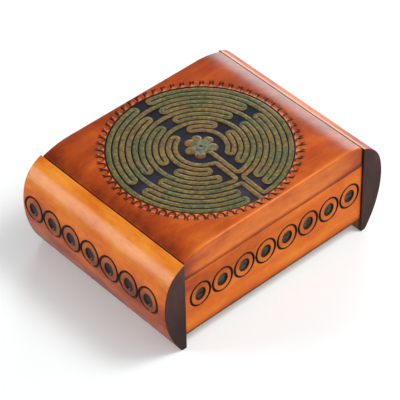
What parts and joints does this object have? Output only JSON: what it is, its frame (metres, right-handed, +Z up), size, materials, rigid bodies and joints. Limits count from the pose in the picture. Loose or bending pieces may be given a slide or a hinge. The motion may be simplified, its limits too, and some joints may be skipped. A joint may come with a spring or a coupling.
{
  "type": "puzzle box",
  "caption": "Wooden puzzle box with a labyrinth carved in its hinged lid; D-shaped cheeks slide back on dovetail rails to uncover hidden lid bolts.",
  "frame": {"origin": "on the surface the box stands on, midway under the closed box", "axes": "+X to the right along the front, +Y to the back, +Z up"},
  "size_m": [0.1626, 0.119, 0.0663],
  "materials": {
    "lid_wood": "stained lime wood, carved and painted labyrinth, satin varnish",
    "cheek_wood": "stained lime wood with burnt rings, satin varnish",
    "panel_wood": "stained lime wood with burnt rings, satin varnish",
    "inner_wood": "bare lime wood",
    "rail_wood": "planed beech",
    "bolt_wood": "waxed beech",
    "brass": "rolled brass",
    "screw_metal": "turned brass"
  },
  "bodies": {
    "carcass": {"base_board": "inner_wood", "front_panel": "panel_wood", "back_panel": "panel_wood", "left_side_wall": "inner_wood", "right_side_wall": "inner_wood", "left_rail": "rail_wood", "right_rail": "rail_wood", "left_rail_screws": "screw_metal", "right_rail_screws": "screw_metal", "left_stop_pin": "rail_wood", "right_stop_pin": "rail_wood", "left_bolt_keeper": "brass", "right_bolt_keeper": "brass", "left_keeper_screws": "screw_metal", "right_keeper_screws": "screw_metal", "left_hinge_body_leaf": "brass", "right_hinge_body_leaf": "brass", "left_hinge_pin": "screw_metal", "right_hinge_pin": "screw_metal", "hinge_body_screws": "screw_metal"},
    "lid": {"lid_board": "lid_wood", "left_strike_plate": "brass", "right_strike_plate": "brass", "strike_screws": "screw_metal", "left_hinge_lid_leaf": "brass", "right_hinge_lid_leaf": "brass", "hinge_lid_screws": "screw_metal"},
    "left_cheek": {"left_cheek": "cheek_wood"},
    "right_cheek": {"right_cheek": "cheek_wood"},
    "left_bolt": {"left_bolt": "bolt_wood"},
    "right_bolt": {"right_bolt": "bolt_wood"}
  },
  "joints": [
    {"name": "lid_hinge", "type": "hinge", "parent": "carcass", "child": "lid", "pos_m": [0, 0.0579, 0.04988], "axis": [-1, 0, 0], "range_deg": [0, 100]},
    {"name": "left_cheek_slide", "type": "slide", "parent": "carcass", "child": "left_cheek", "axis": [0, 1, 0], "range_m": [0, 0.037]},
    {"name": "right_cheek_slide", "type": "slide", "parent": "carcass", "child": "right_cheek", "axis": [0, 1, 0], "range_m": [0, 0.037]},
    {"name": "left_bolt_slide", "type": "slide", "parent": "carcass", "child": "left_bolt", "axis": [0, 0, 1], "range_m": [0, 0.0065]},
    {"name": "right_bolt_slide", "type": "slide", "parent": "carcass", "child": "right_bolt", "axis": [0, 0, 1], "range_m": [0, 0.0065]}
  ]
}
